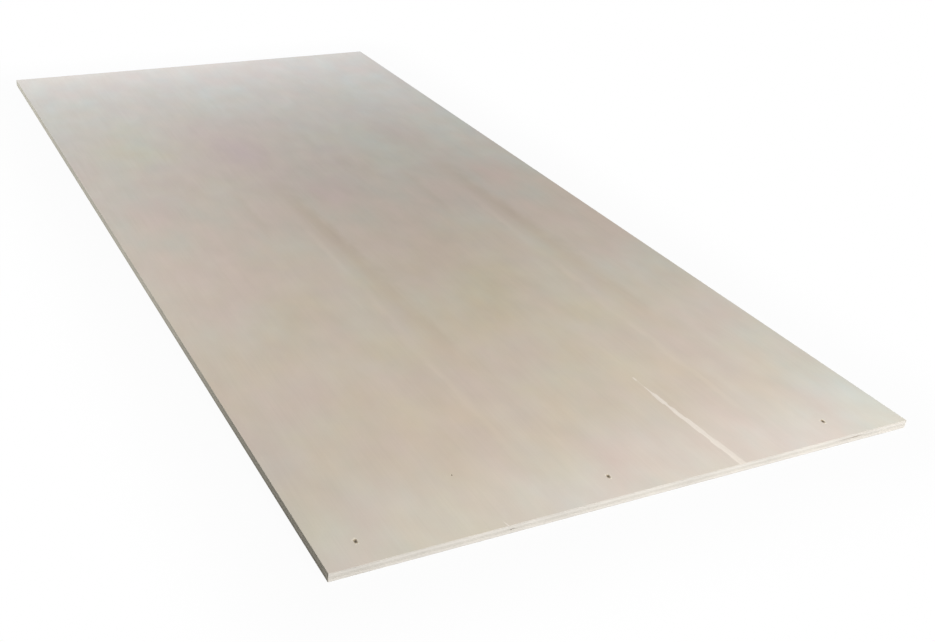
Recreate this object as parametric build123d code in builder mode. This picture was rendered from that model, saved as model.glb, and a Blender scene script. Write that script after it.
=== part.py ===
from build123d import *
from math import pi, sqrt
import os

os.makedirs("parts", exist_ok=True)

# One plywood sheet lying on its back face, in millimetres: X across the face grain, Y along it, Z up.
# The origin is under the middle of the sheet. Distances "in" are taken from the left long edge (-X)
# or from the near short edge (-Y).

# Sheet
sheet_width = 1220.0
sheet_length = 2440.0

# Lay-up: each ply lies across the one below, with a thin face ply above and below the thick inner ones
face_ply = 1.25
inner_ply = 5.0
inner_plies = 3

# Sawn edges: the end grain of a ply shrinks back a little behind the long grain of its neighbours
end_grain_step = 0.2
arris_break = 0.3

# Pin knots: the peeler knife meets the same thin branch once in each turn of the log
first_knot_in = 71.5
knot_row_in = 56.0
knot_mouth = 6.0
knot_length = 10.5
log_girth = 490.0

# A speck left by a bud
speck_in = 302.5
speck_row_in = 152.5
speck_mouth = 2.4
speck_length = 4.0
speck_depth = 0.4

# Splinter torn out of the face along the grain, widest at the near edge and running out to a point
tear_edge_in = 818.5
tear_tip_in = 805.0
tear_run = 308.0
tear_mouth = 14.0
tear_depth = 0.7

# How a torn strip swings towards the grain and how bluntly it narrows, as powers of the way left to its tip
tear_swing = 1.7
tear_taper = 0.3
tear_stations = 4

# Small splinter beside the core gap
chip_edge_in = 325.5
chip_tip_in = 322.5
chip_run = 15.0
chip_mouth = 3.0
chip_depth = 0.5

# Core gap: an inner ply that falls short of its neighbour and leaves a wedge open in the near edge
gap_in = 328.0
gap_length = 10.0
gap_height = 1.8
gap_depth = 8.0

ply_heights = [face_ply] + [inner_ply] * inner_plies + [face_ply]
thickness = sum(ply_heights)
left_edge = -sheet_width / 2
near_edge = -sheet_length / 2

# The left edge is nearer the log's heart, and every turn further out is longer by the veneer all round
knots_in = []
knot_in = first_knot_in
turn = log_girth
while knot_in < sheet_width:
    knots_in.append(knot_in)
    knot_in += turn
    turn += 2 * pi * face_ply


def arc_radius(chord, rise):
    """Radius of an arc from its chord and its rise."""
    return ((chord / 2) ** 2 + rise**2) / (2 * rise)


def oval_pit(x_in, y_in, mouth, length, depth):
    """Cut a dished pit, longer along the grain, as a spindle turned about an axis above the face."""
    middle = (left_edge + x_in, near_edge + y_in)
    across, along = arc_radius(mouth, depth), arc_radius(length, depth)
    axis_height = across - depth
    reach = sqrt(along**2 - (along - across) ** 2)
    with BuildSketch(Plane((*middle, thickness), x_dir=(0, 1, 0), z_dir=(1, 0, 0))) as outline:
        with BuildLine():
            ThreePointArc((-reach, axis_height), (0, -depth), (reach, axis_height))
            Line((reach, axis_height), (-reach, axis_height))
        make_face()
    turning_axis = Axis((*middle, thickness + axis_height), (0, 1, 0))
    revolve(outline.sketch, axis=turning_axis, mode=Mode.SUBTRACT)


def upright(x_in, y_in, height):
    """A plane that stands across the sheet and faces its near end."""
    return Plane((left_edge + x_in, near_edge + y_in, height), x_dir=(1, 0, 0), z_dir=(0, -1, 0))


def tear_out(edge_in, tip_in, run, mouth, depth):
    """Cut a hollow that is deepest at the near edge and runs out to a point on the face."""
    sections = []
    for station in range(tear_stations):
        done = station / tear_stations
        middle_in = tip_in + (edge_in - tip_in) * (1 - done) ** tear_swing
        half_mouth = mouth / 2 * (1 - done) ** tear_taper
        floor = -depth * (1 - done) ** tear_taper
        with BuildSketch(upright(middle_in, run * done, thickness)) as section:
            with BuildLine():
                ThreePointArc((-half_mouth, 0), (0, floor), (half_mouth, 0))
                Line((half_mouth, 0), (-half_mouth, 0))
            make_face()
        sections.append(section.sketch.face())
    tip = Vertex(left_edge + tip_in, near_edge + run, thickness)
    loft([*sections, tip], ruled=True, mode=Mode.SUBTRACT)


with BuildPart() as plywood_sheet:
    level = 0.0
    for number, ply_height in enumerate(ply_heights):
        grain_runs_along = number % 2 == 0
        step_x = 0 if grain_runs_along else end_grain_step
        step_y = end_grain_step if grain_runs_along else 0
        with BuildSketch(Plane.XY.offset(level)):
            Rectangle(sheet_width - 2 * step_x, sheet_length - 2 * step_y)
        extrude(amount=ply_height)
        level += ply_height

    faces_across = plywood_sheet.faces().filter_by(Axis.Z).sort_by(Axis.Z)
    chamfer(faces_across[0].edges() + faces_across[-1].edges(), length=arris_break)

    for knot_in in knots_in:
        oval_pit(knot_in, knot_row_in, knot_mouth, knot_length, face_ply)
    oval_pit(speck_in, speck_row_in, speck_mouth, speck_length, speck_depth)

    tear_out(tear_edge_in, tear_tip_in, tear_run, tear_mouth, tear_depth)
    tear_out(chip_edge_in, chip_tip_in, chip_run, chip_mouth, chip_depth)

    # The wedge opens in the middle of the near edge and closes to the right
    with BuildSketch(upright(gap_in, 0, (thickness + gap_height) / 2)):
        with BuildLine():
            Polyline((0, 0), (gap_length, 0), (0, -gap_height), close=True)
        make_face()
    extrude(amount=-gap_depth, mode=Mode.SUBTRACT)

plywood_sheet.part.label = "plywood_sheet"
export_step(plywood_sheet.part, "parts/plywood_sheet.step")
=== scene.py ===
# %% [markdown]
# A plywood sheet, lying flat and seen across one corner.
#
# The frame holds the sheet at its real size, in metres: X across the face grain, Y along it, Z up. This
# lesson dresses it. It draws the sanded face with its pin knots and torn splinter, lays up the plies
# around the edges with Geometry Nodes, and gives each cut through the wood a finish of its own.

# %% Load the frame
import math

import bmesh
import bpy
import numpy as np
from mathutils import Matrix, Vector


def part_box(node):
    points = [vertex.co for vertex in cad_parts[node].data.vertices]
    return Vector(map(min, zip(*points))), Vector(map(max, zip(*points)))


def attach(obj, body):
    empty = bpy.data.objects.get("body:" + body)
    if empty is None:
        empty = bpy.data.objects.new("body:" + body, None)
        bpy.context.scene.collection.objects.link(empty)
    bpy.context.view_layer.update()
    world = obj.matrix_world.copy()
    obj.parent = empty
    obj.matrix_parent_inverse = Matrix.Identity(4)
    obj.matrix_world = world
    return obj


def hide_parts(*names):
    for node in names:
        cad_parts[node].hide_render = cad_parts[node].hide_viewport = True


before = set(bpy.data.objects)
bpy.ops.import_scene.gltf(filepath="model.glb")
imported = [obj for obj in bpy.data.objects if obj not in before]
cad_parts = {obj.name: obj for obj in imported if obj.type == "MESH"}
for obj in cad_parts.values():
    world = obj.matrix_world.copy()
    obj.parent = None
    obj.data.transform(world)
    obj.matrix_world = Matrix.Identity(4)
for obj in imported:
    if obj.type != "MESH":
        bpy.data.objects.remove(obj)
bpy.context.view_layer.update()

mm = 0.001
low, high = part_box("plywood_sheet")
width, length, thickness = high - low
print(f"sheet {width / mm:.0f} x {length / mm:.0f} x {thickness / mm:.1f} mm")

# %% [markdown]
# Two helpers serve every finish below. Colours are written as sRGB hex values, as a colour chart gives
# them, but Blender mixes light in linear values, so one function converts them. The other adds a node:
# its settings go in by name, and each input takes either a plain value or the output of another node.

# %% Helpers
def linear(hex_colour):
    """An sRGB hex colour as linear RGBA."""
    shares = [int(hex_colour[i:i + 2], 16) / 255 for i in (1, 3, 5)]
    return (*[c / 12.92 if c <= 0.04045 else ((c + 0.055) / 1.055) ** 2.4 for c in shares], 1.0)


def add(tree, kind, inputs={}, **settings):
    """A new node of this kind, with its settings, and its inputs set or linked."""
    node = tree.nodes.new(kind)
    for name, value in settings.items():
        setattr(node, name, value)
    for socket, value in inputs.items():
        if isinstance(value, bpy.types.NodeSocket):
            tree.links.new(value, node.inputs[socket])
        else:
            node.inputs[socket].default_value = value
    return node


print("mid grey", [round(c, 3) for c in linear("#808080")])

# %% [markdown]
# A sheet of plywood is an odd number of veneers, each glued with its grain across the one below. This one
# has thin face plies and three thick inner ones. On a sawn edge the end grain shrinks back a little behind
# the long grain, and the sharp corner of the face, its arris, is eased with sandpaper.

# %% Lay-up
face_ply = 1.25 * mm
inner_plies = 3
inner_ply = (thickness - 2 * face_ply) / inner_plies
end_grain_step = 0.2 * mm
arris = 0.3 * mm
print(f"{inner_plies + 2} plies: faces {face_ply / mm:.2f} mm, inner {inner_ply / mm:.2f} mm")

# %% [markdown]
# Face veneer is peeled from a turning log like paper from a roll, so whatever the knife meets at one angle
# of the log comes back once in every turn. The log gets thinner by one veneer a turn, which makes it a
# spiral: from the distance along the veneer follow the log's radius and the angle it has turned. The three
# pin knots are one thin branch, and these two functions place it, as they place the face's stains later.

# %% Peeling the log
log_girth = 490 * mm
first_knot_in = 71.5 * mm
knot_radius = (log_girth - math.pi * face_ply) / math.tau
edge_radius = math.sqrt(knot_radius**2 - face_ply * first_knot_in / math.pi)


def peel_angle(distance_in):
    """Angle of the log at this distance in from the left long edge."""
    radius = math.sqrt(edge_radius**2 + face_ply * distance_in / math.pi)
    return math.tau * (radius - edge_radius) / face_ply


def peel_distance(angle):
    """Distance in from the left long edge at this angle of the log."""
    radius = edge_radius + face_ply * angle / math.tau
    return math.pi * (radius**2 - edge_radius**2) / face_ply


turns = int((peel_angle(width) - peel_angle(first_knot_in)) / math.tau) + 1
knots_in = [peel_distance(peel_angle(first_knot_in) + math.tau * turn) for turn in range(turns)]
print("pin knots at", [round(knot / mm, 1) for knot in knots_in], "mm from the left edge")

# %% [markdown]
# A pin knot is the end of a thin branch. Its heart has crumbled out and left a pit about as deep as the
# face ply, longer along the grain than across it. A smooth bowl would look drilled, so the rim's radius
# wavers with the bearing around it. Beside the depth, the function gives a stain for the finish to colour
# by: 1 in the heart, which sits towards the near end of the oval, about a half at the rim, and fading out
# as far again outside.

# %% Pin knots
knot_row_in = 56 * mm
knot_mouth = 6 * mm
knot_stretch = 1.75
heart_shift = 0.2
# (share of the radius, waves around the rim, where they start)
rim_waves = [(0.12, 2, 0.7), (0.07, 5, 0.3)]
speck_in = (302.5 * mm, 152.5 * mm)
speck_mouth = 2.4 * mm
speck_depth = 0.4 * mm


def pin_knot(x_in, y_in, place, mouth, depth):
    """Depth and stain of one knot over points given from the left and near edges."""
    across, along = x_in - place[0], (y_in - place[1]) / knot_stretch
    bearing = np.arctan2(along, across)
    waver = sum((size * np.sin(count * bearing + start) for size, count, start in rim_waves), start=1)
    rim = mouth / 2 * waver
    share = np.hypot(across, along) / rim
    from_heart = np.hypot(across, along + heart_shift * mouth) / rim
    return depth * np.clip(1 - share**2, 0, 1), np.clip(1 - from_heart / 2, 0, 1)


print(f"pin knot {knot_mouth / mm:.1f} x {knot_stretch * knot_mouth / mm:.1f} mm")

# %% [markdown]
# At the near edge a splinter has torn out along the grain and left a pale strip, widest at the edge and
# running out to a hair. Wood tears along its fibres, so the two sides run straight for a stretch and then
# step sideways where a fibre let go. Towards the tip the strip thins to a line and almost closes before
# its last fibres, and the floor keeps fine ridges. Random widths, each held over two stretches, give that
# look, and a few listed stretches are set thin. A second, much smaller splinter sits beside the gap in
# the core.

# %% Torn splinters
tear = dict(edge_in=818.5 * mm, tip_in=805 * mm, run=308 * mm, mouth=14 * mm, depth=0.7 * mm, seed=4)
chip = dict(edge_in=325.5 * mm, tip_in=322.5 * mm, run=15 * mm, mouth=3 * mm, depth=0.5 * mm, seed=7)
tear_swing = 1.7
tear_taper = 0.3
stretches = 24
narrowest, widest = 0.8, 1.3
thin_stretches = {15: 0.6, 19: 0.5, 20: 0.4, 21: 0.12, 22: 0.15}
step_share = 0.15
hair = 0.001 * mm
ridge_pitch = 1.7 * mm
ridge_height = 0.2
ridge_drift = 9
pale_rise = 6


def torn_out(x_in, y_in, edge_in, tip_in, run, mouth, depth, seed):
    """Depth and paleness of a splinter torn out from the near edge."""
    draw = np.random.default_rng(seed)
    number = np.arange(stretches)
    held = np.stack([number + step_share, number + 1 - step_share], axis=1).ravel()
    to_go = 1 - np.clip(y_in / run, 0, 1)
    sides = []
    for side in range(2):
        shares = np.repeat(draw.uniform(narrowest, widest, stretches // 2), 2)
        shares[list(thin_stretches)] = list(thin_stretches.values())
        wander = np.interp(y_in / run * stretches, held, np.repeat(shares, 2))
        sides.append(mouth / 2 * to_go**tear_taper * wander)
    off = x_in - (tip_in + (edge_in - tip_in) * to_go**tear_swing)
    share = np.abs(off) / np.maximum(np.where(off < 0, *sides), hair)
    floor = np.sqrt(np.clip(1 - share**2, 0, 1)) * to_go**tear_taper
    ridges = 1 + ridge_height * np.sin(math.tau * x_in / ridge_pitch + ridge_drift * to_go)
    inside = y_in < run
    return depth * floor * ridges * inside, np.clip(pale_rise * (1 - share), 0, 1) * inside


print(f"splinter {tear['run'] / mm:.0f} x {tear['mouth'] / mm:.0f} mm, {tear['depth'] / mm:.1f} mm deep")

# %% [markdown]
# The face is one height field: a grid of points that lies flat and dips where something is missing. An
# even grid fine enough for a 6 mm knot would need millions of points on a sheet this size. Instead the
# lines crowd together at each spot and open out smoothly away from it. The wanted spacing is written as a
# rule, and adding up its inverse says how many lines fit up to any place.

# %% Grid lines
coarse = 40 * mm
spread = 0.5
trial_places = 50001


def graded_lines(start, end, spots):
    """Lines from start to end, close at each (start, end, spacing) spot and coarse elsewhere."""
    at = np.linspace(start, end, trial_places)
    spacing = np.full_like(at, coarse)
    for first, last, fine in spots:
        away = np.maximum(np.maximum(first - at, at - last), 0)
        spacing = np.minimum(spacing, fine + spread * away)
    lines_up_to = np.concatenate([[0], np.cumsum(np.diff(at) / spacing[1:])])
    return np.interp(np.linspace(0, lines_up_to[-1], round(lines_up_to[-1]) + 1), lines_up_to, at)


def around(place, mouth, fine):
    """A spot as wide as a knot's stain."""
    return (place - mouth, place + mouth, fine)


knot_spots = [around(knot, knot_mouth, 0.4 * mm) for knot in knots_in]
x_spots = knot_spots + [
    around(speck_in[0], speck_mouth, 0.5 * mm),
    (tear["tip_in"] - tear["mouth"] / 2, tear["edge_in"] + tear["mouth"] / 2, 0.7 * mm),
    (chip["tip_in"] - chip["mouth"], chip["edge_in"] + chip["mouth"], 0.5 * mm),
]
y_spots = [
    (0, chip["run"], 1 * mm),
    (0, tear["run"], 4 * mm),
    around(knot_row_in, knot_stretch * knot_mouth, 0.5 * mm),
    around(speck_in[1], knot_stretch * speck_mouth, 0.5 * mm),
]
x_lines = graded_lines(arris, width - arris, x_spots)
y_lines = graded_lines(end_grain_step + arris, length - end_grain_step - arris, y_spots)
print(f"face grid {len(x_lines)} x {len(y_lines)} lines")

# %% [markdown]
# The grid's points take their height from the knots and the splinters. Four values ride along with each
# point: the knot stain and the paleness for the finish, the depth, and the rim, which says for a point on
# the border which way is out. The lay-up below reads the last two, because it draws the plies down from
# that border.

# %% Face mesh
x_in, y_in = np.meshgrid(x_lines, y_lines, indexing="ij")
pits = [pin_knot(x_in, y_in, (knot, knot_row_in), knot_mouth, face_ply) for knot in knots_in]
pits.append(pin_knot(x_in, y_in, speck_in, speck_mouth, speck_depth))
tears = [torn_out(x_in, y_in, **tear), torn_out(x_in, y_in, **chip)]
depth = np.max([d for d, _ in pits + tears], axis=0)
stain = np.max([s for _, s in pits], axis=0)
paleness = np.max([p for _, p in tears], axis=0)

rim = np.zeros((*x_in.shape, 3))
rim[0, :, 0], rim[-1, :, 0] = -1, 1
rim[:, 0, 1], rim[:, -1, 1] = -1, 1
rim[..., 2] = 1

points = np.stack([x_in + low.x, y_in + low.y, thickness - depth], axis=-1)
number = np.arange(x_in.size).reshape(x_in.shape)
quads = np.stack([number[:-1, :-1], number[1:, :-1], number[1:, 1:], number[:-1, 1:]], axis=-1)
face_mesh = bpy.data.meshes.new("sanded_face")
face_mesh.from_pydata(points.reshape(-1, 3).tolist(), [], quads.reshape(-1, 4).tolist())
for name, kind, field, values in (
    ("knot", "FLOAT", "value", stain),
    ("torn", "FLOAT", "value", paleness),
    ("depth", "FLOAT", "value", depth),
    ("rim", "FLOAT_VECTOR", "vector", rim),
):
    attribute = face_mesh.attributes.new(name, kind, "POINT")
    attribute.data.foreach_set(field, values.astype(np.float32).ravel())
print(f"face {len(face_mesh.polygons)} quads, deepest {depth.max() / mm:.2f} mm")

# %% [markdown]
# Now the finishes, before the plies that wear them. Every pattern is worked out from Object coordinates,
# in metres, so a noise with a scale of one over a size repeats at that size. A noise seldom leaves the
# middle of its range, so each finish stretches that part, and for sharper streaks less of it.

# %% Bare finish
noise_range = {1: 0.3, 2: 0.7}
streak_range = {1: 0.35, 2: 0.65}


def bare_finish(name):
    """A new material, its tree and shader, and the place on the sheet."""
    material = bpy.data.materials.new(name)
    material.use_nodes = True
    tree = material.node_tree
    place = add(tree, "ShaderNodeTexCoord").outputs["Object"]
    return material, tree, tree.nodes["Principled BSDF"], place


print("noise from", *noise_range.values(), "and streaks from", *streak_range.values())

# %% [markdown]
# The face is rotary-cut poplar, sanded at the mill: pale, even and almost without gloss, with soft
# grey-brown stains in place of a bold grain. Its pattern is drawn in the log and not on the sheet. The
# nodes turn the distance across the sheet into the log's radius and angle, exactly as the functions above
# did, and the noise is looked up at that point of the log, so that it comes back at every turn as it does
# on a real sheet.

# %% Place in the log
def place_in_log(tree, axes):
    """Distance along the veneer, angle of the log and point of the log, at this place of the sheet."""
    veneer_in = add(tree, "ShaderNodeMath", {0: axes["X"], 1: width / 2}, operation="ADD").outputs[0]
    squared = add(tree, "ShaderNodeMath", {0: veneer_in, 1: face_ply / math.pi, 2: edge_radius**2},
                  operation="MULTIPLY_ADD").outputs[0]
    radius = add(tree, "ShaderNodeMath", {0: squared}, operation="SQRT").outputs[0]
    turn = math.tau / face_ply
    angle = add(tree, "ShaderNodeMath", {0: radius, 1: turn, 2: -turn * edge_radius},
                operation="MULTIPLY_ADD").outputs[0]
    log_x = add(tree, "ShaderNodeMath", {0: angle}, operation="COSINE").outputs[0]
    log_y = add(tree, "ShaderNodeMath", {0: angle}, operation="SINE").outputs[0]
    on_ring = add(tree, "ShaderNodeCombineXYZ", {0: log_x, 1: log_y}).outputs[0]
    across = add(tree, "ShaderNodeVectorMath", {0: on_ring, "Scale": radius}, operation="SCALE").outputs[0]
    along = add(tree, "ShaderNodeCombineXYZ", {2: axes["Y"]}).outputs[0]
    in_log = add(tree, "ShaderNodeVectorMath", {0: across, 1: along}, operation="ADD").outputs[0]
    return veneer_in, angle, in_log


print(f"the log turns {peel_angle(width) / math.tau:.2f} times across the sheet")

# %% [markdown]
# Three sums say what the wood looks like at a place: how much darker, pinker and warmer it is than plain
# wood. Together they are its figure. It begins as a soft mottle, longer than it is wide, that warms from
# the far end to the near one; the cooler far end is painted sheen.

# %% Mottle
mottle_stretch = 1.5
tone_size, hue_size, warm_size = 70 * mm, 120 * mm, 100 * mm
tone_range = (0.036, -0.036)
pink_range = (-0.15, 0.55)
warm_range = (-0.4, 0.4)
cool_in = 2300 * mm
warm_in = 600 * mm


def mottle(tree, axes, in_log):
    """The figure to begin with, and the noises of its hue and its tone."""
    scale = (1, 1, 1 / mottle_stretch)
    stretched = add(tree, "ShaderNodeMapping", {"Vector": in_log, "Scale": scale}).outputs[0]
    tone, hue, warm = (
        add(tree, "ShaderNodeTexNoise", {"Vector": stretched, "Scale": 1 / size, "Detail": 3}).outputs[0]
        for size in (tone_size, hue_size, warm_size)
    )
    darker, pinker, warming = (
        add(tree, "ShaderNodeMapRange", {"Value": noise, **noise_range, 3: start, 4: end}).outputs[0]
        for noise, (start, end) in ((tone, tone_range), (hue, pink_range), (warm, warm_range))
    )
    # The cooler far end is painted sheen.
    to_near = add(tree, "ShaderNodeMapRange",
                  {"Value": axes["Y"], 1: low.y + cool_in, 2: low.y + warm_in}).outputs[0]
    warmer = add(tree, "ShaderNodeMath", {0: to_near, 1: warming}, operation="ADD").outputs[0]
    return (darker, pinker, warmer), hue, tone


print("mottle sizes", [round(size / mm) for size in (tone_size, hue_size, warm_size)], "mm")

# %% [markdown]
# Broad clouds lie over the mottle, partly where sapwood passes into heartwood and partly as painted light
# that evens out how the lamps fall; the lighter cloud at the far end paints a sheen. Noise alone would put
# them anywhere, so each is a soft oval set one by one, with its own share of the three sums.

# %% Clouds
# Some clouds are painted light; the lighter one at the far end paints a sheen.
# (distance in from the left edge and from the near edge, half width and half length, all in mm,
# then how much darker, pinker and warmer)
clouds = [
    (0, 800, 620, 1900, -0.13, 0.1, 0),
    (740, 1500, 450, 950, 0.08, 0.15, 0.05),
    (1220, 1650, 280, 700, -0.13, -0.25, -0.4),
    (440, 1450, 560, 800, 0.02, 0.15, 0.5),
    (700, 780, 300, 500, 0.03, -0.2, 0.4),
    (820, 1640, 230, 350, 0, -0.3, 0),
    (600, 0, 1100, 280, -0.09, -0.2, -0.9),
    (20, 250, 260, 420, 0, -0.2, -0.5),
    (250, 2440, 800, 260, -0.07, 0.15, 0),
    (1220, 400, 450, 900, 0, 0, -0.7),
    (250, 330, 330, 330, 0.005, 0.15, 0.3),
    (900, 60, 450, 220, 0, 0.3, -0.5),
    (1220, 2050, 300, 450, -0.06, 0.15, -0.15),
    (80, 1900, 250, 450, 0.01, 0, 0.25),
    (1220, 120, 230, 260, 0.01, -0.35, -0.4),
    (450, 1700, 220, 400, 0, 0.5, 0.6),
    (190, 1780, 180, 300, 0, -0.6, 0.25),
    (900, 1560, 180, 180, 0, -0.3, -0.1),
    (1010, 1180, 200, 260, 0, 0.25, -0.2),
    (800, 2440, 700, 420, 0, 0.2, -0.15),
    (300, 780, 150, 350, 0.01, 0, 0.35),
    (640, 70, 240, 170, 0, 0.35, 0),
    (500, 310, 140, 140, -0.025, -0.1, 0),
]


def soft_patch(tree, place, middle, half_sizes):
    """1 in the middle of a patch, fading out to 0 at its half sizes."""
    from_middle = add(tree, "ShaderNodeVectorMath", {0: place, 1: middle}, operation="SUBTRACT").outputs[0]
    sized = add(tree, "ShaderNodeVectorMath", {0: from_middle, 1: half_sizes}, operation="DIVIDE").outputs[0]
    away = add(tree, "ShaderNodeVectorMath", {0: sized}, operation="LENGTH").outputs["Value"]
    return add(tree, "ShaderNodeMapRange", {"Value": away, 1: 1, 2: 0},
               interpolation_type="SMOOTHSTEP").outputs[0]


def lay_over(tree, figure, cover, amounts):
    """The figure with these amounts added where the cover is."""
    return tuple(
        add(tree, "ShaderNodeMath", {0: cover, 1: amount, 2: so_far}, operation="MULTIPLY_ADD").outputs[0]
        for so_far, amount in zip(figure, amounts)
    )


def with_clouds(tree, figure, place, clouds):
    """The figure with each cloud laid over it."""
    for cloud_in, near_in, half_width, half_length, *amounts in clouds:
        middle = (low.x + cloud_in * mm, low.y + near_in * mm, thickness)
        cover = soft_patch(tree, place, middle, (half_width * mm, half_length * mm, 1))
        figure = lay_over(tree, figure, cover, amounts)
    return figure


print(len(clouds), "clouds")

# %% [markdown]
# The stains are streaks in the log, so each one comes back at every turn, like the knots. A stain is a
# spindle along the grain that leans and wanders a little, and the mottle makes it patchy. The left edge is
# nearest the heart, and the stains begin a little further out.

# %% Stains
# (where it starts and where it ends, each in from the left and the near edge, and its half width, all in
# mm, then how much darker, pinker and warmer)
stains = [
    ((515, 320), (481, 1500), 46, 0.06, 0, 0.5),
    ((514, 860), (480, 1480), 32, 0.05, 0, 0.4),
    ((446, 540), (454, 1240), 15, -0.045, 0, 0),
    ((436, 60), (442, 640), 15, -0.04, 0, 0),
    ((460, 1420), (460, 2100), 130, 0.02, 0.12, 0),
    ((620, 1150), (620, 1650), 150, 0.02, 0.3, 0),
    ((345, 1060), (362, 1480), 22, 0.03, 0, 0.3),
    ((365, 1960), (365, 2330), 60, 0.03, -0.2, 0),
    ((228, 540), (228, 900), 90, 0.03, -0.3, 0),
]
clean_in = 50 * mm
stained_in = 150 * mm
patch_least, patch_most = 0.5, 1.4
sway_angle = 0.12
full_share = 0.3


def with_stains(tree, figure, axes, veneer_in, angle, hue, tone, stains):
    """The figure with each stain laid over it."""
    begun = add(tree, "ShaderNodeMapRange", {"Value": veneer_in, 1: clean_in, 2: stained_in}).outputs[0]
    mottled = add(tree, "ShaderNodeMapRange",
                  {"Value": hue, **noise_range, 3: patch_least, 4: patch_most}).outputs[0]
    patchy = add(tree, "ShaderNodeMath", {0: mottled, 1: begun}, operation="MULTIPLY").outputs[0]
    sway = add(tree, "ShaderNodeMapRange",
               {"Value": tone, **noise_range, 3: -sway_angle, 4: sway_angle}).outputs[0]
    swayed = add(tree, "ShaderNodeMath", {0: angle, 1: sway}, operation="ADD").outputs[0]
    for (start_in, start), (end_in, end), half_width, *amounts in stains:
        start_angle, end_angle = peel_angle(start_in * mm), peel_angle(end_in * mm)
        lean = (end_angle - start_angle) / ((end - start) * mm)
        angle_at_0 = start_angle - lean * (low.y + start * mm)
        stain_angle = add(tree, "ShaderNodeMath", {0: axes["Y"], 1: lean, 2: angle_at_0},
                          operation="MULTIPLY_ADD").outputs[0]
        from_stain = add(tree, "ShaderNodeMath", {0: swayed, 1: stain_angle}, operation="SUBTRACT").outputs[0]
        off = add(tree, "ShaderNodeMath", {0: from_stain, 1: math.pi}, operation="PINGPONG").outputs[0]
        side = add(tree, "ShaderNodeMapRange", {"Value": off, 1: half_width * mm / edge_radius, 2: 0},
                   interpolation_type="SMOOTHSTEP").outputs[0]
        middle, reach = low.y + (start + end) / 2 * mm, (end - start) / 2 * mm
        from_middle = add(tree, "ShaderNodeMath", {0: axes["Y"], 1: middle}, operation="SUBTRACT").outputs[0]
        distance = add(tree, "ShaderNodeMath", {0: from_middle}, operation="ABSOLUTE").outputs[0]
        ends = add(tree, "ShaderNodeMapRange",
                   {"Value": distance, 1: reach, 2: full_share * reach, 4: patchy},
                   interpolation_type="SMOOTHSTEP").outputs[0]
        cover = add(tree, "ShaderNodeMath", {0: side, 1: ends}, operation="MULTIPLY").outputs[0]
        figure = lay_over(tree, figure, cover, amounts)
    return figure


print(len(stains), "stains")

# %% [markdown]
# The damage keeps its own colours. Where a splinter tore out, fresh wood shows, pale and streaky. Round
# each knot there are pale flecks where fibres broke out, then a brown ring and a dark heart. The values
# that the face mesh carries say where: the finish reads them as attributes.

# %% Torn wood and knots
fresh_wood = "#E8DED2"
broken_fibre, knot_ring, knot_heart = "#EFE6D3", "#A09178", "#544B3D"
least_fresh = 0.75
fleck_size = 2.5 * mm
fleck_stretch = 3
fleck_range = {1: 0.52, 2: 0.62}
halo_range, ring_range, heart_range = (0.02, 0.2), (0.38, 0.52), (0.6, 0.8)


def with_damage(tree, colour, place, fibres):
    """The colour with the torn strips and the knots in it."""
    torn = add(tree, "ShaderNodeAttribute", attribute_name="torn").outputs["Fac"]
    streaky = add(tree, "ShaderNodeMapRange", {"Value": fibres, **streak_range, 3: least_fresh}).outputs[0]
    fresh = add(tree, "ShaderNodeMath", {0: torn, 1: streaky}, operation="MULTIPLY").outputs[0]

    knot = add(tree, "ShaderNodeAttribute", attribute_name="knot").outputs["Fac"]
    scale = (1, 1 / fleck_stretch, 1)
    along_grain = add(tree, "ShaderNodeMapping", {"Vector": place, "Scale": scale}).outputs[0]
    grit = add(tree, "ShaderNodeTexNoise",
               {"Vector": along_grain, "Scale": 1 / fleck_size, "Detail": 1}).outputs[0]
    broken = add(tree, "ShaderNodeMapRange", {"Value": grit, **fleck_range}).outputs[0]
    halo, ring, heart = (
        add(tree, "ShaderNodeMapRange", {"Value": knot, 1: start, 2: end}).outputs[0]
        for start, end in (halo_range, ring_range, heart_range)
    )
    flecks = add(tree, "ShaderNodeMath", {0: broken, 1: halo}, operation="MULTIPLY").outputs[0]
    for cover, tint in (
        (fresh, fresh_wood), (flecks, broken_fibre), (ring, knot_ring), (heart, knot_heart),
    ):
        colour = add(tree, "ShaderNodeMix", {"Factor": cover, 6: colour, 7: linear(tint)},
                     data_type="RGBA").outputs[2]
    return colour


print("damage colours", fresh_wood, broken_fibre, knot_ring, knot_heart)

# %% [markdown]
# Now the veneer itself. The three sums mix and darken its colours, and fine fibres along the grain give it
# a little relief and a slightly uneven sheen. The fibres are drawn 3 mm wide, coarser than real ones, so
# that they show from across the sheet. The back has no clouds or stains.

# %% Sanded veneer
cool_wood, warm_wood, pink_wood = "#CCC6BA", "#CFC3B0", "#D1BDB2"
fibre_width = 3 * mm
fibre_stretch = 60
fibre_tones = (1.012, 0.988)
fibre_relief = 0.1 * mm
fibre_roughness = (0.6, 0.68)
wood_ior = 1.5


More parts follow.
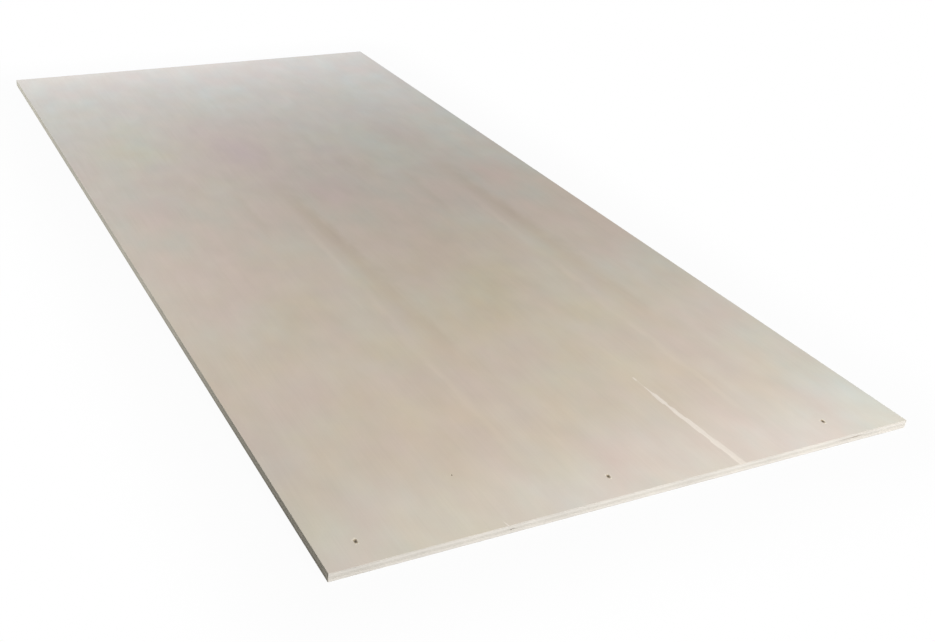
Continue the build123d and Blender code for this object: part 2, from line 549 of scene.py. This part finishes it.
def sanded_veneer(name, stains, clouds):
    """Sanded poplar: nearly matt, with a soft low-contrast figure that follows the log."""
    material, tree, shader, place = bare_finish(name)
    axes = add(tree, "ShaderNodeSeparateXYZ", {0: place}).outputs
    veneer_in, angle, in_log = place_in_log(tree, axes)
    figure, hue, tone = mottle(tree, axes, in_log)
    figure = with_clouds(tree, figure, place, clouds)
    darker, pinker, warmer = with_stains(tree, figure, axes, veneer_in, angle, hue, tone, stains)
    colour = add(tree, "ShaderNodeMix", {"Factor": warmer, 6: linear(cool_wood), 7: linear(warm_wood)},
                 data_type="RGBA", clamp_factor=False).outputs[2]
    colour = add(tree, "ShaderNodeMix", {"Factor": pinker, 6: colour, 7: linear(pink_wood)},
                 data_type="RGBA", clamp_factor=False).outputs[2]

    scale = (1, 1 / fibre_stretch, 1)
    fibre_place = add(tree, "ShaderNodeMapping", {"Vector": place, "Scale": scale}).outputs[0]
    fibres = add(tree, "ShaderNodeTexNoise",
                 {"Vector": fibre_place, "Scale": 1 / fibre_width, "Detail": 3}).outputs[0]
    fibre_tone, sheen = (
        add(tree, "ShaderNodeMapRange", {"Value": fibres, **noise_range, 3: start, 4: end}).outputs[0]
        for start, end in (fibre_tones, fibre_roughness)
    )
    brightness = add(tree, "ShaderNodeMath", {0: fibre_tone, 1: darker}, operation="SUBTRACT").outputs[0]
    colour = add(tree, "ShaderNodeVectorMath", {0: colour, "Scale": brightness}, operation="SCALE").outputs[0]
    colour = with_damage(tree, colour, place, fibres)
    tree.links.new(colour, shader.inputs["Base Color"])

    bump = add(tree, "ShaderNodeBump", {"Height": fibres, "Strength": 0.2, "Distance": fibre_relief})
    tree.links.new(bump.outputs[0], shader.inputs["Normal"])
    tree.links.new(sheen, shader.inputs["Roughness"])
    shader.inputs["IOR"].default_value = wood_ior
    return material


face_finish = sanded_veneer("sanded_poplar_face", stains, clouds)
back_finish = sanded_veneer("sanded_poplar_back", [], [])
for finish in (face_finish, back_finish):
    print(finish.name, len(finish.node_tree.nodes), "nodes")

# %% [markdown]
# A sawn edge shows two cuts through the wood. Where a ply's grain runs along the edge, the saw leaves a
# pale, silky strip with fine lines along it. Where the grain comes straight out, the strip is darker and
# dull, because the open pores swallow light, and the knife's peeling checks stand across it. The long
# edges are darker still, above all in their end grain, as painted shade. Along the edge, either x or y
# changes and the other stays put, so their sum is the distance along any of the four edges. On the near
# edge a little glue has bled out above the core and dried to a brown streak.

# %% Sawn edges
patch_size = 90 * mm
patch_dark, patch_pale = 0.94, 1.04
saw_relief = 0.2 * mm
dried_glue = "#8C7A66"
# (distance in from the left edge, height, half length and half height, all in mm, then strength)
glue_bleeds = [
    (1078, 11.2, 60, 2.2, 0.45),
    (1091, 11.2, 18, 2.0, 0.75),
]
bleed_depth = 5 * mm


def sawn_edge(name, pale, dark, streak_size, roughness):
    """Sawn poplar: streaks of this size along and up the edge, between a pale and a dark tone."""
    material, tree, shader, place = bare_finish(name)
    axes = add(tree, "ShaderNodeSeparateXYZ", {0: place}).outputs
    along = add(tree, "ShaderNodeMath", {0: axes["X"], 1: axes["Y"]}, operation="ADD").outputs[0]
    on_edge = add(tree, "ShaderNodeCombineXYZ", {0: along, 2: axes["Z"]}).outputs[0]
    scale = (1 / streak_size[0], 1, 1 / streak_size[1])
    sized = add(tree, "ShaderNodeMapping", {"Vector": on_edge, "Scale": scale}).outputs[0]
    streaks = add(tree, "ShaderNodeTexNoise",
                  {"Vector": sized, "Scale": 1, "Detail": 3, "Roughness": 0.6}).outputs[0]
    mix = add(tree, "ShaderNodeMapRange", {"Value": streaks, **streak_range}).outputs[0]
    colour = add(tree, "ShaderNodeMix", {"Factor": mix, 6: linear(dark), 7: linear(pale)},
                 data_type="RGBA").outputs[2]
    patches = add(tree, "ShaderNodeTexNoise",
                  {"Vector": on_edge, "Scale": 1 / patch_size, "Detail": 1}).outputs[0]
    tone = add(tree, "ShaderNodeMapRange",
               {"Value": patches, **noise_range, 3: patch_dark, 4: patch_pale}).outputs[0]
    colour = add(tree, "ShaderNodeVectorMath", {0: colour, "Scale": tone}, operation="SCALE").outputs[0]
    for bleed_in, height, half_length, half_height, strength in glue_bleeds:
        middle = (low.x + bleed_in * mm, low.y, height * mm)
        cover = soft_patch(tree, place, middle, (half_length * mm, bleed_depth, half_height * mm))
        stained = add(tree, "ShaderNodeMath", {0: cover, 1: strength}, operation="MULTIPLY").outputs[0]
        colour = add(tree, "ShaderNodeMix", {"Factor": stained, 6: colour, 7: linear(dried_glue)},
                     data_type="RGBA").outputs[2]
    tree.links.new(colour, shader.inputs["Base Color"])
    bump = add(tree, "ShaderNodeBump", {"Height": streaks, "Strength": 0.4, "Distance": saw_relief})
    tree.links.new(bump.outputs[0], shader.inputs["Normal"])
    shader.inputs["Roughness"].default_value = roughness
    return material


saw_lines = (40 * mm, 0.8 * mm)
checks = (1.5 * mm, 3 * mm)
glue_streaks = (10 * mm, 1 * mm)
edge_finishes = {
    "Long Grain": sawn_edge("sawn_long_grain", "#E4DFD7", "#D9D3CA", saw_lines, 0.6),
    "End Grain": sawn_edge("sawn_end_grain", "#DBD6CE", "#CFC9BF", checks, 0.8),
    # The two darker finishes for the long edges are painted shade.
    "Painted Shade Long Grain": sawn_edge("painted_shade_long_grain", "#D4CDBD", "#C7BFAF", saw_lines, 0.75),
    "Painted Shade End Grain": sawn_edge("painted_shade_end_grain", "#CAC3B2", "#BCB4A1", checks, 0.85),
    "Glue Line": sawn_edge("cured_glue_line", "#CFC7BA", "#BEB4A5", glue_streaks, 0.5),
}
print("edge finishes:", ", ".join(edge_finishes))

# %% [markdown]
# The plies follow one rule, so Geometry Nodes lay them up. The tree takes the face, picks the edges that
# have a face on one side only, which are its open border, and draws that border down ring by ring. A
# ring's place is a mix of the point where it stands and the rim pushed out to the ply's own half sizes, so
# the end grain of each ply steps back by itself.

# %% The lay-up tree
lay_up = bpy.data.node_groups.new("ply_lay_up", "GeometryNodeTree")
for name, kind in (
    ("Face", "Geometry"), ("Half Width", "Float"), ("Half Length", "Float"), ("Thickness", "Float"),
    ("Face Ply", "Float"), ("Inner Ply", "Float"), ("Plies", "Int"), ("Rows", "Int"),
    ("End Grain Step", "Float"), ("Arris", "Float"), ("Glue Line Wander", "Float"), ("Seed", "Float"),
    *((finish, "Material") for finish in ("Face Finish", "Back Finish", *edge_finishes)),
):
    lay_up.interface.new_socket(name, in_out="INPUT", socket_type="NodeSocket" + kind)
lay_up.interface.new_socket("Sheet", in_out="OUTPUT", socket_type="NodeSocketGeometry")

given = add(lay_up, "NodeGroupInput").outputs
faces_beside = add(lay_up, "GeometryNodeInputMeshEdgeNeighbors").outputs["Face Count"]
border = add(lay_up, "FunctionNodeCompare", {2: faces_beside, 3: 1},
             data_type="INT", operation="EQUAL").outputs[0]
here = add(lay_up, "GeometryNodeInputPosition").outputs[0]
outward = add(lay_up, "GeometryNodeInputNamedAttribute", {"Name": "rim"}, data_type="FLOAT_VECTOR").outputs[0]
sunk = add(lay_up, "GeometryNodeInputNamedAttribute", {"Name": "depth"}, data_type="FLOAT").outputs[0]
facing = add(lay_up, "ShaderNodeSeparateXYZ", {0: add(lay_up, "GeometryNodeInputNormal").outputs[0]}).outputs


def draw_ring(mesh, half_width, half_length, height):
    """Draw the open border on to a rectangle of these half sizes at this height."""
    drawn = add(lay_up, "GeometryNodeExtrudeMesh",
                {"Mesh": mesh, "Selection": border, "Offset Scale": 0.0}, mode="EDGES").outputs
    size = add(lay_up, "ShaderNodeCombineXYZ", {0: half_width, 1: half_length, 2: height}).outputs[0]
    on_rim = add(lay_up, "ShaderNodeVectorMath", {0: outward, 1: size}, operation="MULTIPLY").outputs[0]
    held = add(lay_up, "ShaderNodeVectorMath", {0: outward}, operation="ABSOLUTE").outputs[0]
    place = add(lay_up, "ShaderNodeMix", {1: held, 4: here, 5: on_rim},
                data_type="VECTOR", factor_mode="NON_UNIFORM").outputs[1]
    moved = add(lay_up, "GeometryNodeSetPosition",
                {0: drawn["Mesh"], "Selection": drawn["Top"], "Position": place}).outputs[0]
    return moved, drawn["Side"]


print("lay-up inputs:", ", ".join(item.name for item in lay_up.interface.items_tree))

# %% [markdown]
# Two nested Repeat Zones count the plies and the rows within a ply. From ply to ply the outer one hands on
# the mesh and the level that the lay-up has come down to. It starts at the face.

# %% Two zones
faced = add(lay_up, "GeometryNodeSetMaterial",
            {0: given["Face"], "Material": given["Face Finish"]}).outputs[0]
ply_start = add(lay_up, "GeometryNodeRepeatInput")
ply_end = add(lay_up, "GeometryNodeRepeatOutput")
ply_start.pair_with_output(ply_end)
ply_end.repeat_items.new("FLOAT", "Level")
row_start = add(lay_up, "GeometryNodeRepeatInput")
row_end = add(lay_up, "GeometryNodeRepeatOutput")
row_start.pair_with_output(row_end)
for socket, value in (("Iterations", given["Plies"]), ("Geometry", faced), ("Level", given["Thickness"])):
    lay_up.links.new(value, ply_start.inputs[socket])
print("handed on from ply to ply:", [item.name for item in ply_end.repeat_items])

# %% [markdown]
# Inside the zones, a ply's count says everything about it: the first and the last are face plies with an
# arris, and every second one lies across and steps back at its sides instead of its ends.

# %% One ply
ply = ply_start.outputs["Iteration"]
is_first = add(lay_up, "FunctionNodeCompare", {2: ply, 3: 0}, data_type="INT", operation="EQUAL").outputs[0]
below = add(lay_up, "ShaderNodeMath", {0: ply, 1: 1}, operation="ADD").outputs[0]
is_last = add(lay_up, "ShaderNodeMath", {0: below, 1: given["Plies"], 2: 0.1}, operation="COMPARE").outputs[0]
is_face = add(lay_up, "ShaderNodeMath", {0: is_first, 1: is_last}, operation="MAXIMUM").outputs[0]
lies_across = add(lay_up, "ShaderNodeMath", {0: ply, 1: 2}, operation="FLOORED_MODULO").outputs[0]
lies_along = add(lay_up, "ShaderNodeMath", {0: 1, 1: lies_across}, operation="SUBTRACT").outputs[0]
step = given["End Grain Step"]
half_sizes = []
for stepped, half_size in ((lies_across, "Half Width"), (lies_along, "Half Length")):
    step_here = add(lay_up, "ShaderNodeMath", {0: stepped, 1: step}, operation="MULTIPLY").outputs[0]
    half = add(lay_up, "ShaderNodeMath", {0: given[half_size], 1: step_here}, operation="SUBTRACT")
    half_sizes.append(half.outputs[0])
ply_height = add(lay_up, "ShaderNodeMix",
                 {0: is_face, 2: given["Inner Ply"], 3: given["Face Ply"]}).outputs[0]
level = ply_start.outputs["Level"]
next_level = add(lay_up, "ShaderNodeMath", {0: level, 1: ply_height}, operation="SUBTRACT").outputs[0]
upper_arris = add(lay_up, "ShaderNodeMath", {0: is_first, 1: given["Arris"]}, operation="MULTIPLY").outputs[0]
top = add(lay_up, "ShaderNodeMath", {0: level, 1: upper_arris}, operation="SUBTRACT").outputs[0]
bottom = add(lay_up, "ShaderNodeMath", {0: is_last, 1: given["Arris"], 2: next_level},
             operation="MULTIPLY_ADD").outputs[0]
print("lay-up tree", len(lay_up.nodes), "nodes for a ply's sizes")

# %% [markdown]
# Veneers aren't perfectly even, so the glue lines above and below a ply wander, except where the line is
# an arris of the sheet. A row lies at its share of the way between the two lines, less what is torn from
# the face above it.

# %% Rows between the glue lines
wander_length = 70 * mm
flat_place = add(lay_up, "ShaderNodeVectorMath", {0: here, 1: (1, 1, 0)}, operation="MULTIPLY").outputs[0]
ply_lines = []
for count, line_height, is_arris in ((ply, top, is_first), (below, bottom, is_last)):
    drawn_from = add(lay_up, "ShaderNodeMath", {0: count, 1: given["Seed"]}, operation="ADD").outputs[0]
    wave = add(lay_up, "ShaderNodeTexNoise",
               {"Vector": flat_place, "W": drawn_from, "Scale": 1 / wander_length, "Detail": 1},
               noise_dimensions="4D").outputs[0]
    both_ways = add(lay_up, "ShaderNodeMapRange", {"Value": wave, **noise_range, 3: -1, 4: 1}).outputs[0]
    free = add(lay_up, "ShaderNodeMix", {0: is_arris, 2: given["Glue Line Wander"], 3: 0.0}).outputs[0]
    line = add(lay_up, "ShaderNodeMath", {0: both_ways, 1: free, 2: line_height}, operation="MULTIPLY_ADD")
    ply_lines.append(line.outputs[0])

row = row_start.outputs["Iteration"]
share = add(lay_up, "ShaderNodeMath", {0: row, 1: given["Rows"]}, operation="DIVIDE").outputs[0]
even = add(lay_up, "ShaderNodeMix", {0: share, 2: ply_lines[0], 3: ply_lines[1]}).outputs[0]
rest = add(lay_up, "ShaderNodeMath", {0: 1, 1: share}, operation="SUBTRACT").outputs[0]
near_top = add(lay_up, "ShaderNodeMath", {0: is_first, 1: rest}, operation="MULTIPLY").outputs[0]
torn_depth = add(lay_up, "ShaderNodeMath", {0: sunk, 1: near_top}, operation="MULTIPLY").outputs[0]
height = add(lay_up, "ShaderNodeMath", {0: even, 1: torn_depth}, operation="SUBTRACT").outputs[0]
ring, side = draw_ring(row_start.outputs["Geometry"], *half_sizes, height)
print("lay-up tree", len(lay_up.nodes), "nodes with its rows")

# %% [markdown]
# The grain comes out of the short edges of a ply that lies along, and out of the long edges of one that
# lies across. Each ring takes the finishes one over the other: long grain, then end grain, each darkened on
# the long edges as painted shade, and glue in the first row of every ply below the face.

# %% Which cut shows where
slope = add(lay_up, "ShaderNodeMath", {0: facing["Y"]}, operation="ABSOLUTE").outputs[0]
on_short_edge = add(lay_up, "ShaderNodeMath", {0: slope, 1: 0.5}, operation="GREATER_THAN").outputs[0]
cut_across = add(lay_up, "FunctionNodeBooleanMath", {0: on_short_edge, 1: lies_across},
                 operation="XOR").outputs[0]
is_end = add(lay_up, "FunctionNodeBooleanMath", {0: side, 1: cut_across}, operation="AND").outputs[0]
on_long_edge = add(lay_up, "FunctionNodeBooleanMath", {0: side, 1: on_short_edge},
                   operation="NIMPLY").outputs[0]
is_painted_shade_end = add(lay_up, "FunctionNodeBooleanMath", {0: is_end, 1: on_short_edge},
                   operation="NIMPLY").outputs[0]
row_is_first = add(lay_up, "FunctionNodeCompare", {2: row, 3: 0},
                   data_type="INT", operation="EQUAL").outputs[0]
at_glue = add(lay_up, "FunctionNodeBooleanMath", {0: row_is_first, 1: is_first},
              operation="NIMPLY").outputs[0]
is_glue = add(lay_up, "FunctionNodeBooleanMath", {0: side, 1: at_glue}, operation="AND").outputs[0]
# On the long edges the darker finishes are painted shade.
for chosen, finish in (
    (side, "Long Grain"), (on_long_edge, "Painted Shade Long Grain"), (is_end, "End Grain"),
    (is_painted_shade_end, "Painted Shade End Grain"), (is_glue, "Glue Line"),
):
    ring = add(lay_up, "GeometryNodeSetMaterial",
               {0: ring, "Selection": chosen, "Material": given[finish]}).outputs[0]
rows_and_ledge = add(lay_up, "ShaderNodeMath", {0: given["Rows"], 1: 1}, operation="ADD").outputs[0]
for value, socket in (
    (rows_and_ledge, row_start.inputs["Iterations"]),
    (ply_start.outputs["Geometry"], row_start.inputs["Geometry"]),
    (ring, row_end.inputs["Geometry"]),
    (row_end.outputs["Geometry"], ply_end.inputs["Geometry"]),
    (next_level, ply_end.inputs["Level"]),
):
    lay_up.links.new(value, socket)
print("lay-up tree", len(lay_up.nodes), "nodes with its finishes")

# %% [markdown]
# Below the last ply the border is drawn in by the arris and filled. Merging points that lie on each other
# joins the back to the edges, so that the sheet is one closed skin.

# %% Close the back
merge_distance = 0.01 * mm
less_step = add(lay_up, "ShaderNodeMath", {0: given["Half Length"], 1: step}, operation="SUBTRACT").outputs[0]
back_sizes = [
    add(lay_up, "ShaderNodeMath", {0: half_size, 1: given["Arris"]}, operation="SUBTRACT").outputs[0]
    for half_size in (given["Half Width"], less_step)
]
closed, lower_arris = draw_ring(ply_end.outputs["Geometry"], *back_sizes, 0.0)
loop = add(lay_up, "GeometryNodeMeshToCurve", {"Mesh": closed, "Selection": border}).outputs[0]
filled = add(lay_up, "GeometryNodeFillCurve", {0: loop}).outputs[0]
turned = add(lay_up, "GeometryNodeFlipFaces", {"Mesh": filled}).outputs[0]
back = add(lay_up, "GeometryNodeSetMaterial", {0: turned, "Material": given["Back Finish"]}).outputs[0]
joined = add(lay_up, "GeometryNodeJoinGeometry")
for part in (back, closed):
    lay_up.links.new(part, joined.inputs[0])
merged = add(lay_up, "GeometryNodeMergeByDistance",
             {"Geometry": joined.outputs[0], "Distance": merge_distance}).outputs[0]
realized = add(lay_up, "GeometryNodeRealizeInstances", {0: merged}).outputs[0]
finished = add(lay_up, "GeometryNodeSetMaterial",
               {0: realized, "Selection": lower_arris, "Material": given["Long Grain"]}).outputs[0]
add(lay_up, "NodeGroupOutput", {"Sheet": finished})
print("lay-up tree", len(lay_up.nodes), "nodes with its back")

# %% [markdown]
# The modifier's inputs are set by their identifiers, and the evaluated result becomes a plain mesh, with
# the modifier gone.

# %% Lay up the sheet
def settle(piece, modifier):
    """Make what the modifier gives the piece's own plain mesh, and take the modifier off."""
    evaluated = piece.evaluated_get(bpy.context.evaluated_depsgraph_get())
    piece_mesh = bpy.data.meshes.new_from_object(evaluated)
    piece.modifiers.remove(modifier)
    piece.data = piece_mesh
    print(f"{len(piece_mesh.polygons)} faces, materials {[m.name for m in piece_mesh.materials]}")


sheet = bpy.data.objects.new("dressed_plywood_sheet", face_mesh)
bpy.context.scene.collection.objects.link(sheet)
modifier = sheet.modifiers.new("ply_lay_up", "NODES")
modifier.node_group = lay_up
wanted = {
    "Half Width": width / 2, "Half Length": length / 2, "Thickness": thickness,
    "Face Ply": face_ply, "Inner Ply": inner_ply, "Plies": inner_plies + 2, "Rows": 6,
    "End Grain Step": end_grain_step, "Arris": arris, "Glue Line Wander": 0.25 * mm, "Seed": 3.0,
    "Face Finish": face_finish, "Back Finish": back_finish, **edge_finishes,
}
for item in lay_up.interface.items_tree:
    if item.name in wanted:
        modifier[item.identifier] = wanted[item.name]
settle(sheet, modifier)

# %% [markdown]
# At the near edge an inner veneer stops short of its neighbour and leaves a wedge-shaped gap. A Boolean
# modifier cuts it with a wedge of the gap's own size, which starts outside the edge. The cut faces take
# the wedge's finish, a dark wood colour that paints the shade inside the gap.

# %% Core gap
gap_in = 328 * mm
gap_length = 10 * mm
gap_height = 1.8 * mm
gap_depth = 8 * mm
gap_streaks = (3 * mm, 1 * mm)
overshoot = 2 * mm
gap_left, gap_top = low.x + gap_in, (thickness + gap_height) / 2
corners = [(gap_left, gap_top), (gap_left + gap_length, gap_top), (gap_left, gap_top - gap_height)]
wedge_mesh = bpy.data.meshes.new("gap_wedge")
wedge_mesh.from_pydata(
    [(x, y, z) for y in (low.y - overshoot, low.y + gap_depth) for x, z in corners], [],
    [(0, 2, 1), (3, 4, 5), (0, 1, 4, 3), (1, 2, 5, 4), (2, 0, 3, 5)],
)
# The gap's dark finish is painted shade.
wedge_mesh.materials.append(sawn_edge("painted_shade_core_gap", "#A0958A", "#8A7F72", gap_streaks, 0.6))
wedge = bpy.data.objects.new("gap_wedge", wedge_mesh)
bpy.context.scene.collection.objects.link(wedge)
cut = sheet.modifiers.new("core_gap", "BOOLEAN")
cut.object = wedge
cut.operation = "DIFFERENCE"
cut.solver = "EXACT"
cut.material_mode = "TRANSFER"
settle(sheet, cut)
bpy.data.objects.remove(wedge)

# %% [markdown]
# Edges sharper than a shallow angle stay crisp, and the rest is shaded smooth. The values that only the
# lay-up needed go, and a count of the edges shows whether the skin is closed.

# %% Close inspection
sharp_angle = math.radians(30)
sheet_mesh = sheet.data
sheet_mesh.shade_smooth()
sheet_mesh.set_sharp_from_angle(angle=sharp_angle)
for name in ("rim", "depth"):
    sheet_mesh.attributes.remove(sheet_mesh.attributes[name])
sheet_mesh.update()

counted = bmesh.new()
counted.from_mesh(sheet_mesh)
open_edges = sum(len(edge.link_faces) != 2 for edge in counted.edges)
triangles = sum(len(face.verts) - 2 for face in counted.faces)
print(f"open edges {open_edges}, triangles {triangles}, volume {counted.calc_volume() * 1e6:.1f} cm3")
counted.free()

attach(sheet, "root")
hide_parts("plywood_sheet")

# %% [markdown]
# The floor is a plain pale sweep of matt studio paper. Seen directly or in a reflection it is white, as
# the world behind it is, and only close to the sheet does it keep a share of its own shading, for the
# shadow. Light that bounces from it sees a grey card, so that the edges in shade stay dark.

# %% Floor
floor_drop = 0.2 * mm
floor_size = 12.0
shadow_share = 0.04
shadow_reach = 0.3
grey_card = "#B8B8B6"

reach = floor_size / 2
floor_corners = ((-reach, -reach), (reach, -reach), (reach, reach), (-reach, reach))
floor_mesh = bpy.data.meshes.new("floor")
floor_mesh.from_pydata([(x, y, -floor_drop) for x, y in floor_corners], [], [(0, 1, 2, 3)])
floor = bpy.data.objects.new("floor", floor_mesh)
bpy.context.scene.collection.objects.link(floor)


def seen_rays(tree):
    """1 for rays from the camera, or by way of a reflection or glass, 0 for light that bounces about."""
    rays = add(tree, "ShaderNodeLightPath").outputs
    seen = add(tree, "ShaderNodeMath", {0: rays["Is Camera Ray"], 1: rays["Is Glossy Ray"]},
               operation="MAXIMUM").outputs[0]
    return add(tree, "ShaderNodeMath", {0: seen, 1: rays["Is Transmission Ray"]},
               operation="MAXIMUM").outputs[0]


paper, tree, shader, place = bare_finish("pale_studio_paper")
tree.nodes.remove(shader)
across = add(tree, "ShaderNodeVectorMath", {0: place}, operation="ABSOLUTE").outputs[0]
past_edge = add(tree, "ShaderNodeVectorMath", {0: across, 1: (width / 2, length / 2, 0)},
                operation="SUBTRACT").outputs[0]
outside = add(tree, "ShaderNodeVectorMath", {0: past_edge, 1: (0, 0, 0)}, operation="MAXIMUM").outputs[0]
away = add(tree, "ShaderNodeVectorMath", {0: outside}, operation="LENGTH").outputs["Value"]
whiteness = add(tree, "ShaderNodeMapRange", {"Value": away, 2: shadow_reach, 3: 1 - shadow_share, 4: 1},
                interpolation_type="SMOOTHSTEP").outputs[0]
white_share = add(tree, "ShaderNodeMath", {0: whiteness, 1: seen_rays(tree)}, operation="MULTIPLY").outputs[0]
shaded = add(tree, "ShaderNodeBsdfDiffuse", {"Color": linear(grey_card)}).outputs[0]
white = add(tree, "ShaderNodeEmission").outputs[0]
mixed = add(tree, "ShaderNodeMixShader", {0: white_share, 1: shaded, 2: white}).outputs[0]
tree.links.new(mixed, tree.nodes["Material Output"].inputs["Surface"])
floor_mesh.materials.append(paper)
print("floor", floor_size, "m, shadow kept within", shadow_reach, "m of the sheet")

# %% [markdown]
# The world is white where it is seen, and otherwise only a weak fill, so that the lamps shape the edges.

# %% World
fill_strength = 0.13
world = bpy.data.worlds.new("white_studio")
bpy.context.scene.world = world
world.use_nodes = True
tree = world.node_tree
strength = add(tree, "ShaderNodeMapRange", {"Value": seen_rays(tree), 3: fill_strength, 4: 1}).outputs[0]
tree.links.new(strength, tree.nodes["Background"].inputs["Strength"])
tree.nodes["Background"].inputs["Color"].default_value = (1, 1, 1, 1)
print("fill", fill_strength)

# %% [markdown]
# Five softboxes do the rest, as in a product studio. The key stands low in front: it brightens the near
# edge and the near end of the face and leaves the left edge in shade. A smaller one brings out the near
# right corner. One behind the far end grazes the face and lifts it to a cool sheen. The last two stand
# low on the left and look along the edge there, so that it brightens away from the eye.

# %% Softboxes
def softbox(name, place, aim, size, watts, colour):
    """A rectangular lamp at this place, turned to its aim."""
    lamp = bpy.data.lights.new(name, "AREA")
    lamp.shape = "RECTANGLE"
    lamp.size, lamp.size_y = size
    lamp.energy = watts
    lamp.color = linear(colour)[:3]
    stand = bpy.data.objects.new(name, lamp)
    aimed = (Vector(aim) - Vector(place)).to_track_quat("-Z", "Y").to_matrix().to_4x4()
    stand.matrix_world = Matrix.Translation(place) @ aimed
    bpy.context.scene.collection.objects.link(stand)


softbox("key_in_front", (0.2, -3.4, 1.6), (0, -0.8, 0), (1.6, 1.0), 67, "#FFFFFF")
softbox("near_right_corner", (1.3, -1.8, 1.8), (0.4, -1.1, 0), (1.0, 1.0), 22.5, "#FFFFFF")
softbox("behind_far_end", (0.1, 1.75, 0.6), (0, 1.0, 0), (2.0, 0.5), 10.9, "#E8F3FF")
softbox("low_far_left", (-2.0, 1.7, 0.65), (-0.6, 1.1, 0), (1.2, 0.8), 21, "#F2F8FF")
softbox("along_left_edge", (-1.5, -0.4, 0.5), (-0.6, 1.2, 0), (0.6, 0.4), 4.4, "#F6F8FA")
print("softboxes", [lamp.name for lamp in bpy.data.lights])

# %% [markdown]
# The camera stands left of the near edge and looks along the sheet. Its place and lens come from the four
# corners of the sheet in the picture, and a sideways shift of the lens keeps the framing.

# %% Camera
picture_width = 935
focal_pixels = 1151
sensor_width = 36.0
sideways_shift = 0.165
camera_place = (-1.217, -2.411, 1.232)
pan, tilt, roll = (math.radians(angle) for angle in (25.09, 29.93, 3.16))

camera_data = bpy.data.cameras.new("photo_camera")
camera_data.sensor_width = sensor_width
camera_data.lens = focal_pixels / picture_width * sensor_width
camera_data.shift_x = sideways_shift
camera = bpy.data.objects.new("photo_camera", camera_data)
panned, rolled = Matrix.Rotation(-pan, 4, "Z"), Matrix.Rotation(roll, 4, "Z")
tilted = Matrix.Rotation(math.pi / 2 - tilt, 4, "X")
camera.matrix_world = Matrix.Translation(camera_place) @ (panned @ tilted @ rolled)
bpy.context.scene.collection.objects.link(camera)
bpy.context.scene.camera = camera
bpy.context.scene.view_settings.view_transform = "Standard"
print(f"lens {camera_data.lens:.2f} mm")

# %% [markdown]
# The dressed sheet is laid up inside the imported sheet's box.
